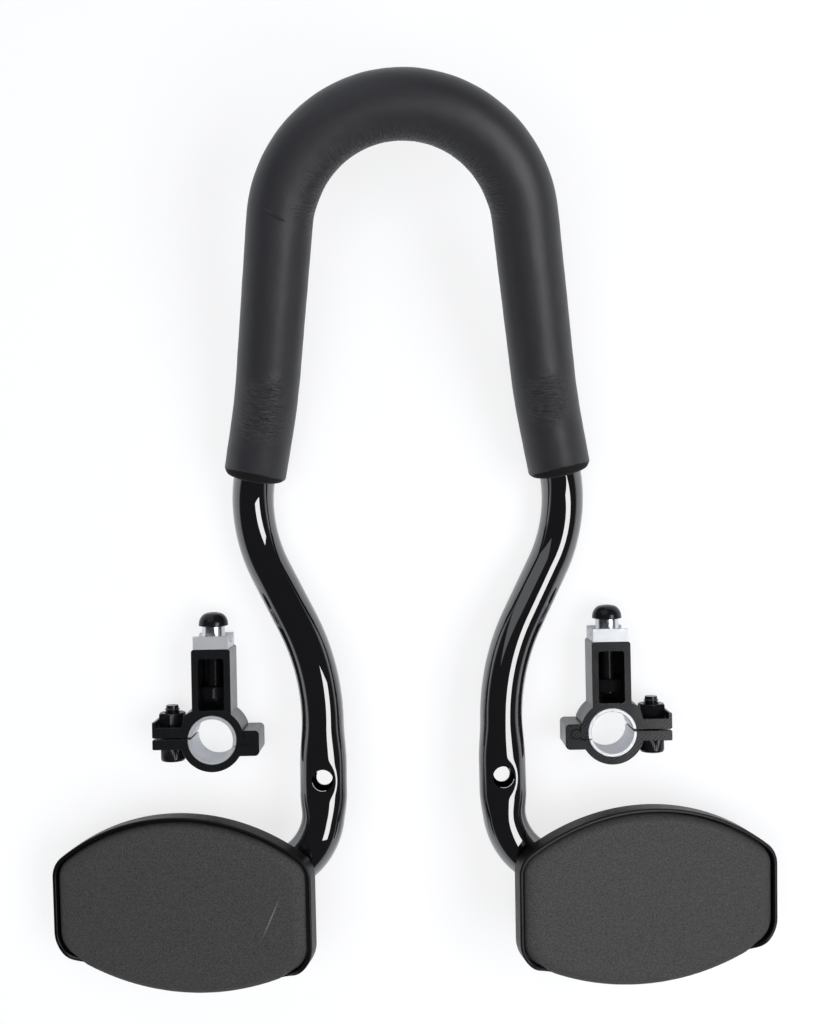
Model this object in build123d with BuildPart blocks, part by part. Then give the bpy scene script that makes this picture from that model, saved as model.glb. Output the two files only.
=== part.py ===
from build123d import *
from math import atan2, cos, degrees, radians, sin, sqrt, tan
import os

# Aero handlebar extension: one bent tube with a foam grip, two arm rests and two bar clamps.
# Millimetres, +Z up, +X to the rider's right, +Y forward, origin on the floor under the middle.
# The bar lies on its first bends and on its tube ends. The clamps lie beside it, taken off,
# with their bores upright. The right half is modelled and the left half is its mirror image.

# Tube
tube_od = 22.2
tube_wall = 2.0

# Grip loop: a U in a plane that rises to the front, its legs splayed and then flared
grip_tilt = 22.0
grip_bend_radius = 61.0
grip_reach = 216.4
leg_splay = 7.5
leg_flare = 11.8
leg_bend_up = 70.0
leg_bend_radius = 400.0

# Route of the tube behind the grip, given by its bend vertices
first_bend_y = 11.43
first_bend_radius = 58.0
second_bend_back = 77.0
second_bend_rise = 18.8
second_bend_radius = 112.0
mount_spacing = 93.8
rear_run = 98.6
rear_run_slope = 5.0
third_bend_tangent = 26.4
pad_seat_spacing = 235.8
pad_seat_back = 18.5
tail_past_pad = 38.0

# Oval length of the rear run, with a seat pressed into its top and drilled through
mount_back = 56.5
oval_width = 24.5
oval_height = 19.6
oval_length = 16.0
oval_front_blend = 14.0
oval_rear_blend = 7.0
seat_depth = 1.4
seat_press_radius = 40.0
upper_hole = 11.0
lower_hole = 8.5

# Foam grip
grip_od = 33.0
grip_fit = 0.1
grip_end_gap = 1.0
grip_end_round = 1.2

# Tube end plugs
plug_flange = 3.0
plug_spigot = 12.0
plug_fit = 0.15
plug_round = 1.0

# Arm cups
cup_width = 141.5
cup_length = 90.6
cup_apex_inward = 7.0
cup_front_outer = 28.5
cup_front_inner = 22.5
cup_rear_drop = 15.0
cup_shoulder_round = 14.0
cup_corner_round = 17.0
cup_floor = 2.5
cup_seat_web = 1.5
rim_wall = 2.2
rim_height = 6.5
rim_round = 0.9
rear_mouth = 106.0
rear_overhang = 4.0
boss_length = 58.0
boss_width = 24.0
boss_drop = 4.0
boss_round = 5.0
boss_fit = 0.1

# Arm pads
pad_thickness = 8.0
pad_gap = 0.6
pad_seat_gap = 0.1
pad_round = 3.5

# Cup screws
cup_screw_d = 5.0
cup_screw_head_d = 9.6
cup_screw_length = 14.0
cup_screw_spacing = 36.0
cup_screw_socket = 3.0
cup_screw_socket_depth = 1.6
cup_screw_fit = 0.1

# Bar clamps
clamp_spacing = 212.0
clamp_y = -101.77
clamp_depth = 25.0
bar_diameter = 22.2
shim_wall = 1.8
shim_fit = 0.1
ring_wall = 3.9
shim_slit = 1.3
ear_split = 1.1
hinge_split = -3.4
ear_gap = 0.8
hinge_gap = 0.3
ear_thickness = 5.4
ear_reach = 31.6
ear_lip = 1.7
ear_lip_height = 3.2
ear_round = 0.8
shoulder_foot = 16.3
shoulder_top_x = 14.6
shoulder_top_y = 13.2
tower_width = 20.6
tower_top = 48.0
tower_round = 1.5
window_width = 13.6
window_bottom = 15.6
window_top = 43.0
window_floor = 3.0
window_round = 1.4

# Interlocking clamp hinge: a bulb on the body inside a hook on the cap
hinge_x = -19.2
hinge_y = -0.6
bulb_radius = 2.6
neck_thickness = 3.0
hook_clearance = 0.15
hook_outer = 24.9
hook_top = 4.8
hook_bottom = 8.7
hook_round = 2.4

# Bolts, nuts, bush and saddle of the clamps
bolt_d = 8.0
bolt_fit = 0.2
thread_fit = 0.05
nut_across_flats = 13.0
nut_height = 6.5
pinch_x = 23.0
pinch_head_d = 13.0
pinch_head_height = 8.0
pinch_socket = 6.0
pinch_socket_depth = 4.0
pinch_tip = 3.8
head_round = 1.0
saddle_width = 18.5
saddle_height = 6.8
saddle_web = 2.2
saddle_inset = 0.3
saddle_fit = 0.2
bush_d = 12.2
bush_length = 9.4
bush_fit = 0.1
dome_d = 15.8
dome_height = 7.0
dome_rim = 1.2
dome_top_d = 6.4
dome_socket = 5.0
dome_socket_depth = 3.5
tower_bolt_length = 40.5
tower_nut_up = 1.6

os.makedirs("parts", exist_ok=True)

tube_radius = tube_od / 2
tilt = radians(grip_tilt)
splay = radians(leg_splay)
flare = radians(leg_flare)


def to_left(point):
    """The same point on the other side of the object's middle plane."""
    return Vector(-point.X, point.Y, point.Z)


def vertex_above_floor(before, after, bend_radius):
    """Height of a bend's vertex when the tube's lowest point in that bend lies on the floor."""
    half_turn = radians(before.get_angle(after) / 2)
    bisector = (after.normalized() - before.normalized()).normalized()
    bend_normal = before.cross(after).normalized()
    bend_centre = bisector.Z * bend_radius / cos(half_turn)
    lowest = bend_centre - bend_radius * sqrt(1 - bend_normal.Z**2)
    return tube_radius - lowest


def save(part, name):
    """Write one finished piece under its node name."""
    part.label = name
    export_step(part, f"parts/{name}.step")


# Tube route, worked out from the grip loop backwards
loop_end_x = grip_bend_radius * cos(splay)
loop_end_up = grip_reach - grip_bend_radius + grip_bend_radius * sin(splay)
leg_bend_x = loop_end_x + (loop_end_up - leg_bend_up) * tan(splay)
first_bend_x = leg_bend_x + leg_bend_up * tan(flare)
leg_run = Vector(sin(flare), -cos(flare) * cos(tilt), -cos(flare) * sin(tilt))
diagonal_run = Vector(mount_spacing / 2 - first_bend_x, -second_bend_back, second_bend_rise)
first_bend_z = vertex_above_floor(leg_run, diagonal_run, first_bend_radius)

grip_plane = Plane(
    origin=(0, first_bend_y, first_bend_z),
    x_dir=(1, 0, 0),
    z_dir=(0, -sin(tilt), cos(tilt)),
)
apex = grip_plane.from_local_coords(Vector(0, grip_reach))
loop_end = grip_plane.from_local_coords(Vector(loop_end_x, loop_end_up))
leg_bend = grip_plane.from_local_coords(Vector(leg_bend_x, leg_bend_up))
first_bend = grip_plane.from_local_coords(Vector(first_bend_x, 0))
second_bend = first_bend + diagonal_run
rear_slope = radians(rear_run_slope)
rear_direction = Vector(0, -cos(rear_slope), sin(rear_slope))
rear_normal = Vector(0, sin(rear_slope), cos(rear_slope))
third_bend = second_bend + rear_direction * rear_run
mount_centre = second_bend + rear_direction * mount_back

# The tail runs under the pad seat and comes down to the floor at its plug
seat_x = pad_seat_spacing / 2
seat_y = third_bend.Y - pad_seat_back
tail_plan = Vector(seat_x - third_bend.X, seat_y - third_bend.Y).normalized()
tail_tip = Vector(seat_x, seat_y) + tail_plan * tail_past_pad + Vector(0, 0, tube_radius)
tail_direction = (tail_tip - third_bend).normalized()
tail_end = tail_tip - tail_direction * plug_flange
seat_travel = (seat_x - third_bend.X) / tail_direction.X
seat_axis_point = third_bend + tail_direction * seat_travel
level_across = Vector(-tail_direction.Y, tail_direction.X).normalized()
seat_normal = tail_direction.cross(level_across)
cup_plane = Plane(
    origin=seat_axis_point + seat_normal * tube_radius,
    x_dir=(1, 0, 0),
    z_dir=seat_normal,
)
tail_in_cup = cup_plane.to_local_coords(cup_plane.origin + tail_direction)
tail_angle = degrees(atan2(tail_in_cup.Y, tail_in_cup.X))

oval_half = oval_length / 2
oval_front = mount_centre - rear_direction * (oval_half + oval_front_blend)
oval_rear = mount_centre + rear_direction * (oval_half + oval_rear_blend)

with BuildLine() as loop_path:
    FilletPolyline(
        oval_front,
        second_bend,
        first_bend,
        leg_bend,
        loop_end,
        radius=(second_bend_radius, first_bend_radius, leg_bend_radius),
    )
    ThreePointArc(loop_end, apex, to_left(loop_end))
    FilletPolyline(
        to_left(loop_end),
        to_left(leg_bend),
        to_left(first_bend),
        to_left(second_bend),
        to_left(oval_front),
        radius=(leg_bend_radius, first_bend_radius, second_bend_radius),
    )

third_turn = radians(rear_direction.get_angle(tail_direction))
third_bend_radius = third_bend_tangent / tan(third_turn / 2)
with BuildLine() as tail_path:
    FilletPolyline(oval_rear, third_bend, tail_end, radius=(third_bend_radius,))

press_centre = mount_centre + rear_normal * (oval_height / 2 - seat_depth + seat_press_radius)


def rear_section(centre):
    """Cross-section plane of the rear run at a point on its axis."""
    return Plane(origin=centre, x_dir=(1, 0, 0), z_dir=rear_direction)


def tail_solid(inset):
    """Flattened seat and tail of the right side, filled, with the skin moved in by inset."""
    with BuildPart() as tail:
        with BuildSketch(rear_section(oval_rear)):
            Circle(tube_radius - inset)
        sweep(path=tail_path.wire())
        with BuildSketch(rear_section(oval_front)):
            Circle(tube_radius - inset)
        for travel in (-oval_half, oval_half):
            with BuildSketch(rear_section(mount_centre + rear_direction * travel)):
                Ellipse(oval_width / 2 - inset, oval_height / 2 - inset)
        with BuildSketch(rear_section(oval_rear)):
            Circle(tube_radius - inset)
        loft()
        with BuildSketch(Plane(origin=press_centre, z_dir=(1, 0, 0))):
            Circle(seat_press_radius + inset)
        extrude(amount=oval_width, both=True, mode=Mode.SUBTRACT)
    return tail.part


def tube_solid(inset):
    """The whole tube, filled, with the skin moved in by inset."""
    with BuildPart() as tube:
        with BuildSketch(Plane(origin=oval_front, z_dir=-rear_direction)):
            Circle(tube_radius - inset)
        sweep(path=loop_path.wire())
        add(tail_solid(inset))
        mirror(tail_solid(inset), about=Plane.YZ)
    return tube.part


screw_points = [
    (along * cos(radians(tail_angle)), along * sin(radians(tail_angle)))
    for along in (-cup_screw_spacing / 2, cup_screw_spacing / 2)
]

# Extension bar: the tube with its seat holes and the tapped holes of the cup screws
with BuildPart() as drilled_side:
    with BuildSketch(Plane(mount_centre, z_dir=rear_normal)):
        Circle(upper_hole / 2)
    extrude(amount=tube_od)
    with BuildSketch(Plane(mount_centre, z_dir=rear_normal)):
        Circle(lower_hole / 2)
    extrude(amount=-tube_od)
    with BuildSketch(cup_plane):
        with Locations(*screw_points):
            Circle(cup_screw_d / 2 + cup_screw_fit)
    extrude(amount=tube_radius, both=True)

with BuildPart() as extension_bar:
    add(tube_solid(0))
    add(tube_solid(tube_wall), mode=Mode.SUBTRACT)
    add(drilled_side.part, mode=Mode.SUBTRACT)
    mirror(drilled_side.part, about=Plane.YZ, mode=Mode.SUBTRACT)
save(extension_bar.part, "extension_bar")

# Foam grip: one sleeve over the loop, cut square just before the first bends
first_turn = radians(leg_run.get_angle(diagonal_run))
first_bend_tangent = first_bend_radius * tan(first_turn / 2)
grip_end = first_bend - leg_run.normalized() * (first_bend_tangent + grip_end_gap)

with BuildPart() as foam_grip:
    with BuildLine() as grip_path:
        FilletPolyline(grip_end, leg_bend, loop_end, radius=leg_bend_radius)
        ThreePointArc(loop_end, apex, to_left(loop_end))
        FilletPolyline(
            to_left(loop_end), to_left(leg_bend), to_left(grip_end), radius=leg_bend_radius
        )
    with BuildSketch(Plane(origin=grip_end, z_dir=-leg_run)):
        Circle(grip_od / 2)
        Circle(tube_radius + grip_fit, mode=Mode.SUBTRACT)
    sweep(path=grip_path.wire())
    grip_end_faces = foam_grip.faces().filter_by(GeomType.PLANE)
    fillet([face.outer_wire().edge() for face in grip_end_faces], grip_end_round)
save(foam_grip.part, "foam_grip")

# Tube end plug: a flush flange and a spigot inside the tube
with BuildPart() as end_plug:
    with BuildSketch(Plane(origin=tail_end, z_dir=tail_direction)):
        Circle(tube_radius)
    extrude(amount=plug_flange)
    fillet(end_plug.edges().sort_by(Axis(tail_end, tail_direction))[-1], plug_round)
    with BuildSketch(Plane(origin=tail_end, z_dir=tail_direction)):
        Circle(tube_radius - tube_wall - plug_fit)
    extrude(amount=-plug_spigot)

cup_half_width = cup_width / 2
cup_half_length = cup_length / 2
rear_corner_y = cup_rear_drop - cup_half_length


def arm_rest_outline(inset):
    """Plan of the arm rest: arched front, straight sides, bowed rear, moved in by inset."""
    outer_front = (cup_half_width, cup_half_length - cup_front_outer)
    inner_front = (-cup_half_width, cup_half_length - cup_front_inner)
    inner_rear = (-cup_half_width, rear_corner_y)
    outer_rear = (cup_half_width, rear_corner_y)
    with BuildSketch() as outline:
        with BuildLine():
            ThreePointArc(outer_front, (-cup_apex_inward, cup_half_length), inner_front)
            Line(inner_front, inner_rear)
            ThreePointArc(inner_rear, (0, -cup_half_length), outer_rear)
            Line(outer_rear, outer_front)
        make_face()
        fillet(outline.vertices().sort_by(Axis.Y)[2:], cup_shoulder_round)
        fillet(outline.vertices().sort_by(Axis.Y)[:2], cup_corner_round)
        if inset:
            offset(amount=-inset, mode=Mode.REPLACE)
    return outline.sketch


# Arm cup: a tray with a rim, open at the rear, on a boss that fits the top of the tube
floor_top = cup_seat_web + cup_floor
cup_up = Axis(cup_plane.origin, cup_plane.z_dir)
with BuildPart() as arm_cup:
    with BuildSketch(cup_plane.offset(cup_seat_web)):
        add(arm_rest_outline(0))
    extrude(amount=cup_floor + rim_height)
    with BuildSketch(cup_plane.offset(floor_top)):
        add(arm_rest_outline(rim_wall))
    extrude(amount=rim_height, mode=Mode.SUBTRACT)
    with BuildSketch(cup_plane.offset(cup_seat_web)):
        with Locations((0, -cup_half_length)):
            Rectangle(rear_mouth, cup_length)
        add(arm_rest_outline(rear_overhang), mode=Mode.SUBTRACT)
    extrude(amount=cup_floor + rim_height, mode=Mode.SUBTRACT)
    fillet(arm_cup.faces().sort_by(cup_up)[-1].edges(), rim_round)
    with BuildSketch(cup_plane.offset(cup_seat_web)):
        with Locations(Rotation(0, 0, tail_angle)):
            RectangleRounded(boss_length, boss_width, boss_round)
    extrude(amount=-cup_seat_web - boss_drop)
    with BuildSketch(Plane(origin=seat_axis_point, z_dir=tail_direction)):
        Circle(tube_radius + boss_fit)
    extrude(amount=boss_length, both=True, mode=Mode.SUBTRACT)
    with Locations(cup_plane.offset(floor_top)):
        with Locations(*screw_points):
            CounterSinkHole(cup_screw_d / 2 + cup_screw_fit, cup_screw_head_d / 2 + cup_screw_fit)

# Cup screws: countersunk, through the cup into the top wall of the tube
screw_head_height = (cup_screw_head_d - cup_screw_d) / 2
top_align = (Align.CENTER, Align.CENTER, Align.MAX)
with BuildPart(cup_plane.offset(floor_top)) as cup_screws:
    with Locations(*screw_points):
        Cylinder(cup_screw_d / 2, cup_screw_length, align=top_align)
        Cone(cup_screw_d / 2, cup_screw_head_d / 2, screw_head_height, align=top_align)
    with BuildSketch(cup_plane.offset(floor_top)):
        with Locations(*screw_points):
            RegularPolygon(cup_screw_socket / 2, 6, major_radius=False)
    extrude(amount=-cup_screw_socket_depth, mode=Mode.SUBTRACT)

# Arm pad: foam inside the rim, bowed out over the open rear edge of the cup
pad_plane = cup_plane.offset(floor_top + pad_seat_gap)
pad_inset = rim_wall + pad_gap
rear_arc_radius = (cup_half_width**2 + cup_rear_drop**2) / (2 * cup_rear_drop)
rear_arc_y = rear_arc_radius - cup_half_length
bow_x = rear_mouth / 2 - pad_gap
bow_y = rear_arc_y - sqrt((rear_arc_radius - pad_inset) ** 2 - bow_x**2)
with BuildPart() as arm_pad:
    with BuildSketch(pad_plane):
        add(arm_rest_outline(pad_inset))
        with BuildLine():
            ThreePointArc((-bow_x, bow_y), (0, -cup_half_length), (bow_x, bow_y))
            Line((bow_x, bow_y), (-bow_x, bow_y))
        make_face()
    extrude(amount=pad_thickness)
    fillet(arm_pad.faces().sort_by(cup_up)[-1].edges(), pad_round)

# Bar clamp, right side: everything is drawn around the bore centre, x towards the ears
clamp_plane = Plane((clamp_spacing / 2, clamp_y, 0))
shim_inner = bar_diameter / 2
shim_outer = shim_inner + shim_wall
ring_inner = shim_outer + shim_fit
ring_outer = ring_inner + ring_wall
far = 2 * (ring_outer + ear_reach)
ear_top = ear_split + ear_gap / 2 + ear_thickness
lower_ear_bottom = ear_split - ear_gap / 2 - ear_thickness
lip_inner = ear_reach - ear_lip


def above_split(ear_clearance, hinge_clearance):
    """Everything above the split of the clamp, half of each clearance away from it."""
    with BuildSketch() as upper:
        with Locations((0, ear_split + ear_clearance / 2)):
            Rectangle(far, far, align=(Align.MIN, Align.MIN))
        with Locations((0, hinge_split + hinge_clearance / 2)):
            Rectangle(far, far, align=(Align.MAX, Align.MIN))
    return upper.sketch


def below_split(ear_clearance, hinge_clearance):
    """Everything below the split of the clamp, half of each clearance away from it."""
    with BuildSketch() as lower:
        with Locations((0, ear_split - ear_clearance / 2)):
            Rectangle(far, far, align=(Align.MIN, Align.MAX))
        with Locations((0, hinge_split - hinge_clearance / 2)):
            Rectangle(far, far, align=(Align.MAX, Align.MAX))
    return lower.sketch


def across_plane(height):
    """Plane across the tower at a height above the bore centre, centred in the clamp's depth."""
    return Plane(
        origin=clamp_plane.from_local_coords(Vector(0, height, clamp_depth / 2)),
        x_dir=(1, 0, 0),
        z_dir=(0, 1, 0),
    )


# Clamp body: an extruded profile with a milled nut pocket, bolt holes and the hinge bulb
with BuildPart() as clamp_body:
    with BuildSketch(clamp_plane):
        Circle(ring_outer)
        Rectangle(tower_width, tower_top, align=(Align.CENTER, Align.MIN))
        Polygon(
            (0, 0),
            (shoulder_foot, 0),
            (shoulder_foot, ear_top),
            (shoulder_top_x, shoulder_top_y),
            (tower_width / 2, window_bottom),
            align=None,
        )
        Rectangle(ear_reach, ear_top, align=(Align.MIN, Align.MIN))
        with Locations((lip_inner, 0)):
            Rectangle(ear_lip, ear_top + ear_lip_height, align=(Align.MIN, Align.MIN))
        add(above_split(ear_gap, hinge_gap), mode=Mode.INTERSECT)
        with Locations((hinge_x, hinge_y)):
            Circle(bulb_radius)
            Rectangle(-hinge_x - ring_inner, neck_thickness, align=(Align.MIN, Align.CENTER))
        Circle(ring_inner, mode=Mode.SUBTRACT)
    extrude(amount=clamp_depth)
    fillet(clamp_body.edges().filter_by(Axis.Z).group_by(Axis.Y)[-1], tower_round)
    fillet(clamp_body.edges().filter_by(Axis.Z).group_by(Axis.X)[-1], ear_round)
    with BuildSketch(clamp_plane.offset(clamp_depth)):
        with Locations((0, (window_bottom + window_top) / 2)):
            RectangleRounded(window_width, window_top - window_bottom, window_round)
    extrude(amount=window_floor - clamp_depth, mode=Mode.SUBTRACT)
    with BuildSketch(across_plane(tower_top)):
        Circle(bolt_d / 2 + bolt_fit)
    extrude(amount=window_top - tower_top, mode=Mode.SUBTRACT)
    with BuildSketch(across_plane(ear_top)):
        with Locations((pinch_x, 0)):
            Circle(bolt_d / 2 + bolt_fit)
    extrude(amount=-2 * ear_thickness, mode=Mode.SUBTRACT)

# Clamp cap: lower half ring and ear, with the hook that holds the hinge bulb
with BuildPart() as clamp_cap:
    with BuildSketch(clamp_plane):
        with Locations((-hook_outer, -hook_bottom)):
            hook = Rectangle(
                hook_outer - ring_inner, hook_top + hook_bottom, align=(Align.MIN, Align.MIN)
            )
        fillet(hook.vertices().group_by(Axis.X)[0], hook_round)
        with BuildSketch(mode=Mode.SUBTRACT):
            Circle(ring_outer + hinge_gap)
            add(above_split(0, -hinge_gap), mode=Mode.INTERSECT)
        with Locations((hinge_x, hinge_y)):
            Circle(bulb_radius + hook_clearance, mode=Mode.SUBTRACT)
            Rectangle(
                -hinge_x - ring_inner,
                neck_thickness + 2 * hook_clearance,
                align=(Align.MIN, Align.CENTER),
                mode=Mode.SUBTRACT,
            )
        with BuildSketch():
            Circle(ring_outer)
            with Locations((0, lower_ear_bottom)):
                Rectangle(ear_reach, ear_thickness, align=(Align.MIN, Align.MIN))
            add(below_split(ear_gap, hinge_gap), mode=Mode.INTERSECT)
        Circle(ring_inner, mode=Mode.SUBTRACT)
    extrude(amount=clamp_depth)
    fillet(clamp_cap.edges().filter_by(Axis.Z).group_by(Axis.X)[-1], ear_round)
    with BuildSketch(across_plane(ear_top)):
        with Locations((pinch_x, 0)):
            Circle(bolt_d / 2 + bolt_fit)
    extrude(amount=-far, mode=Mode.SUBTRACT)

# Shims: two half shells that bring the bore down to the bar
with BuildPart() as upper_shim:
    with BuildSketch(clamp_plane):
        Circle(shim_outer)
        Circle(shim_inner, mode=Mode.SUBTRACT)
        add(above_split(shim_slit, hinge_gap), mode=Mode.INTERSECT)
    extrude(amount=clamp_depth)

with BuildPart() as lower_shim:
    with BuildSketch(clamp_plane):
        Circle(shim_outer)
        Circle(shim_inner, mode=Mode.SUBTRACT)
        add(below_split(shim_slit, hinge_gap), mode=Mode.INTERSECT)
    extrude(amount=clamp_depth)

# Pinch bolt and nut: a socket cap screw from below the lower ear into a hex nut above
pinch_reach = ear_top + nut_height + pinch_tip - lower_ear_bottom
with BuildPart() as pinch_bolt:
    with BuildSketch(across_plane(lower_ear_bottom)):
        with Locations((pinch_x, 0)):
            Circle(pinch_head_d / 2)
    extrude(amount=-pinch_head_height)
    fillet(pinch_bolt.edges().group_by(Axis.Y)[0], head_round)
    with BuildSketch(across_plane(lower_ear_bottom - pinch_head_height)):
        with Locations((pinch_x, 0)):
            RegularPolygon(pinch_socket / 2, 6, major_radius=False)
    extrude(amount=pinch_socket_depth, mode=Mode.SUBTRACT)
    with BuildSketch(across_plane(lower_ear_bottom)):
        with Locations((pinch_x, 0)):
            Circle(bolt_d / 2)
    extrude(amount=pinch_reach)
    chamfer(pinch_bolt.edges().group_by(Axis.Y)[-1], head_round)

with BuildPart() as pinch_nut:
    with BuildSketch(across_plane(ear_top)):
        with Locations((pinch_x, 0)):
            RegularPolygon(nut_across_flats / 2, 6, major_radius=False, rotation=30)
            Circle(bolt_d / 2 + thread_fit, mode=Mode.SUBTRACT)
    extrude(amount=nut_height)

# Saddle block: grooved across the clamp for the tube, spot-faced for the bush
groove_radius = tube_radius + saddle_fit
saddle_floor = tower_top + saddle_web
with BuildPart() as saddle_block:
    with BuildSketch(across_plane(tower_top)):
        Rectangle(saddle_width, clamp_depth - 2 * saddle_inset)
    extrude(amount=saddle_height)
    with BuildSketch(Plane(across_plane(saddle_floor + groove_radius).origin, z_dir=(1, 0, 0))):
        Circle(groove_radius)
    extrude(amount=saddle_width, both=True, mode=Mode.SUBTRACT)
    with BuildSketch(across_plane(saddle_floor)):
        Circle(bush_d / 2 + bush_fit)
    extrude(amount=saddle_height, mode=Mode.SUBTRACT)
    with BuildSketch(across_plane(tower_top)):
        Circle(bolt_d / 2 + bolt_fit)
    extrude(amount=saddle_height, mode=Mode.SUBTRACT)

with BuildPart() as spacer_bush:
    with BuildSketch(across_plane(saddle_floor)):
        Circle(bush_d / 2)
        Circle(bolt_d / 2 + bolt_fit, mode=Mode.SUBTRACT)
    extrude(amount=bush_length)

# Tower bolt: a domed head on the bush, its shank down into the captive nut
dome_base = saddle_floor + bush_length
shank_end = dome_base - tower_bolt_length
with BuildPart() as tower_bolt:
    with BuildSketch(Plane(across_plane(dome_base).origin)):
        with BuildLine():
            Polyline((0, dome_height), (0, 0), (dome_d / 2, 0), (dome_d / 2, dome_rim))
            TangentArc(
                (dome_d / 2, dome_rim), (dome_top_d / 2, dome_height), tangent=(0, 1)
            )
            Line((dome_top_d / 2, dome_height), (0, dome_height))
        make_face()
    revolve(axis=Axis(across_plane(dome_base).origin, (0, 1, 0)))
    with BuildSketch(across_plane(dome_base + dome_height)):
        RegularPolygon(dome_socket / 2, 6, major_radius=False)
    extrude(amount=-dome_socket_depth, mode=Mode.SUBTRACT)
    with BuildSketch(across_plane(dome_base)):
        Circle(bolt_d / 2)
    extrude(amount=-tower_bolt_length)
    chamfer(tower_bolt.edges().group_by(Axis.Y)[0], head_round)

with BuildPart() as tower_nut:
    with BuildSketch(across_plane(shank_end + tower_nut_up)):
        RegularPolygon(nut_across_flats / 2, 6, major_radius=False, rotation=30)
        Circle(bolt_d / 2 + thread_fit, mode=Mode.SUBTRACT)
    extrude(amount=nut_height)

# Every paired piece is written for the right side and, mirrored, for the left side
paired_pieces = {
    "end_plug": end_plug,
    "arm_cup": arm_cup,
    "cup_screws": cup_screws,
    "arm_pad": arm_pad,
    "clamp_body": clamp_body,
    "clamp_cap": clamp_cap,
    "upper_shim": upper_shim,
    "lower_shim": lower_shim,
    "pinch_bolt": pinch_bolt,
    "pinch_nut": pinch_nut,
    "saddle_block": saddle_block,
    "spacer_bush": spacer_bush,
    "tower_bolt": tower_bolt,
    "tower_nut": tower_nut,
}
for name, right_piece in paired_pieces.items():
    save(right_piece.part, f"right_{name}")
    with BuildPart() as left_piece:
        mirror(right_piece.part, about=Plane.YZ)
    save(left_piece.part, f"left_{name}")
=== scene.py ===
import math

import bpy
from bpy.props import FloatProperty, FloatVectorProperty, PointerProperty
from mathutils import Matrix, Vector, kdtree, noise


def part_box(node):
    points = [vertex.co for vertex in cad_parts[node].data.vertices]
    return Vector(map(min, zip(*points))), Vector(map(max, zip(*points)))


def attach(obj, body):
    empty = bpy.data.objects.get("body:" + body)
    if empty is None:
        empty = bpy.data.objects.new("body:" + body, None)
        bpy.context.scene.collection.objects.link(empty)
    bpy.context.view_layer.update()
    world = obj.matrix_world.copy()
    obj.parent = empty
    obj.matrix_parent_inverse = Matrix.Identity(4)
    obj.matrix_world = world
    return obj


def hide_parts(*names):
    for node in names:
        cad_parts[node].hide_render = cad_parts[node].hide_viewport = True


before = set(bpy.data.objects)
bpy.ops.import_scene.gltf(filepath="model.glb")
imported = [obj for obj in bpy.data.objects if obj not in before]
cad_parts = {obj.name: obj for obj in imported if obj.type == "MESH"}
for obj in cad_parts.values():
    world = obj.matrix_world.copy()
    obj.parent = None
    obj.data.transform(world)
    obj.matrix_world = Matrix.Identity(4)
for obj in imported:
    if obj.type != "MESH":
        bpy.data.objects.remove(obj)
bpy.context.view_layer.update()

bl_info = {
    "name": "Aero handlebar extension",
    "version": (1, 0, 0),
    "blender": (4, 5, 0),
    "location": "3D View > Sidebar > Extension",
    "description": "Dresses the handlebar extension, its arm rests and its two bar clamps",
    "category": "Add Mesh",
}

MM = 0.001
SIDES = {"left": -1, "right": 1}
ACROSS = Vector((1, 0, 0))
AHEAD = Vector((0, 1, 0))
UP = Vector((0, 0, 1))

# Sides of a swept ring, gap at which halves join, and radius of the ring that ends a turned piece
RING_SIDES = 80
JOIN_GAP = 0.01 * MM
TIP = 0.01 * MM

# Length of the hexagon that cuts a socket, and of the grip's end that leans with its cut
SOCKET_TOOL = 6 * MM
GRIP_END_ZONE = 10 * MM

# Creased part of each leg of the grip, from the end of the loop, and how much the loop is creased; the
# creases get relief and painted shade
LEG_CREASES = {-1: (72 * MM, 118 * MM), 1: (72 * MM, 110 * MM)}
LOOP_CREASES = {-1: 0.9, 1: 0.65}


def srgb(code):
    """An sRGB hex colour as the linear colour that Blender's sockets take."""
    channels = [int(code[at:at + 2], 16) / 255 for at in (1, 3, 5)]
    return [c / 12.92 if c <= 0.04045 else ((c + 0.055) / 1.055) ** 2.4 for c in channels]


def length(label, millimetres):
    """A size that a user may change, written in millimetres."""
    return FloatProperty(name=label, default=millimetres * MM, unit="LENGTH")


def angle(label, degrees):
    """An angle that a user may change, written in degrees."""
    return FloatProperty(name=label, default=math.radians(degrees), subtype="ANGLE")


def place(label, millimetres):
    """A point that a user may move, written in millimetres."""
    return FloatVectorProperty(name=label, default=[c * MM for c in millimetres], subtype="TRANSLATION")


def colour(label, code):
    """A colour that a user may change, written as an sRGB hex value."""
    return FloatVectorProperty(name=label, default=srgb(code), subtype="COLOR", min=0, max=1)


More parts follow.
